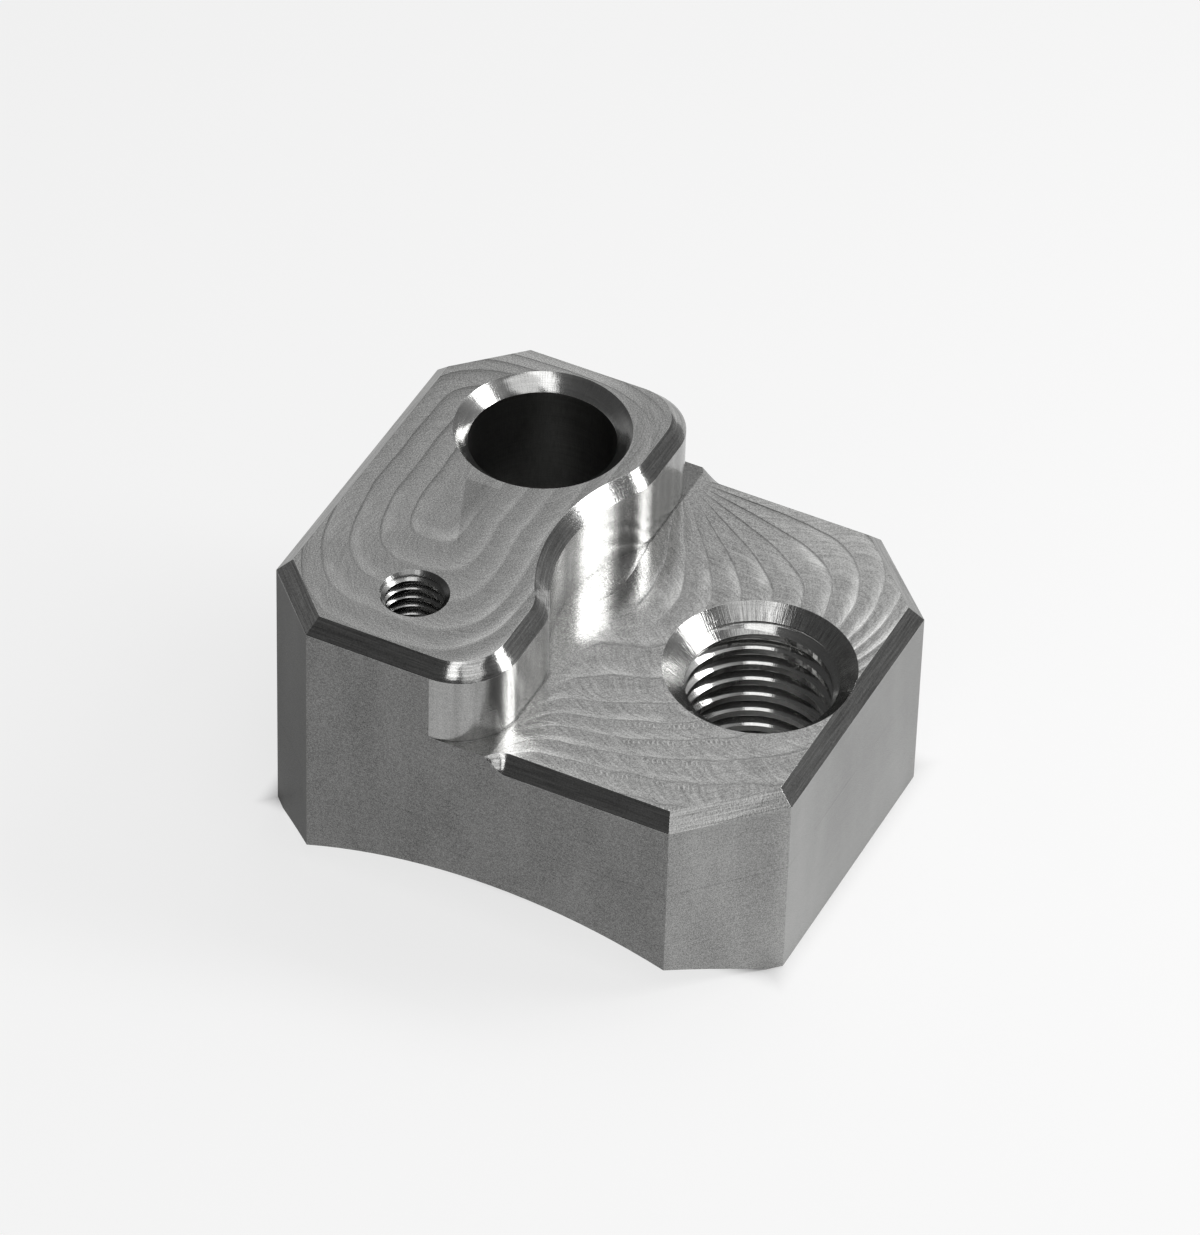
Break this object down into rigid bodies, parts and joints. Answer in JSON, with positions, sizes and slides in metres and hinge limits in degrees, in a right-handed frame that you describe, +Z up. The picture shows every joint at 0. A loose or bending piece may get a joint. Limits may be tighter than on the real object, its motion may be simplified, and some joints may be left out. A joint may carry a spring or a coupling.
{
  "type": "sensor bung",
  "caption": "Weld-on block for an intake pipe, with a plain bore and clamp screw hole for a plug-in sensor on its high side and a tapped port for a screw-in sensor on its low side.",
  "frame": {"origin": "middle of the block, level with the two narrow feet that stand on the pipe", "axes": "+Z up and away from the pipe, along all three holes; +X from the high side to the low side; +Y along the pipe, from the clamp screw hole to the plain bore"},
  "size_m": [0.04, 0.035, 0.0231],
  "materials": {
    "body": "as milled, unpolished"
  },
  "bodies": {
    "root": {"bung_body": "body"}
  },
  "joints": []
}
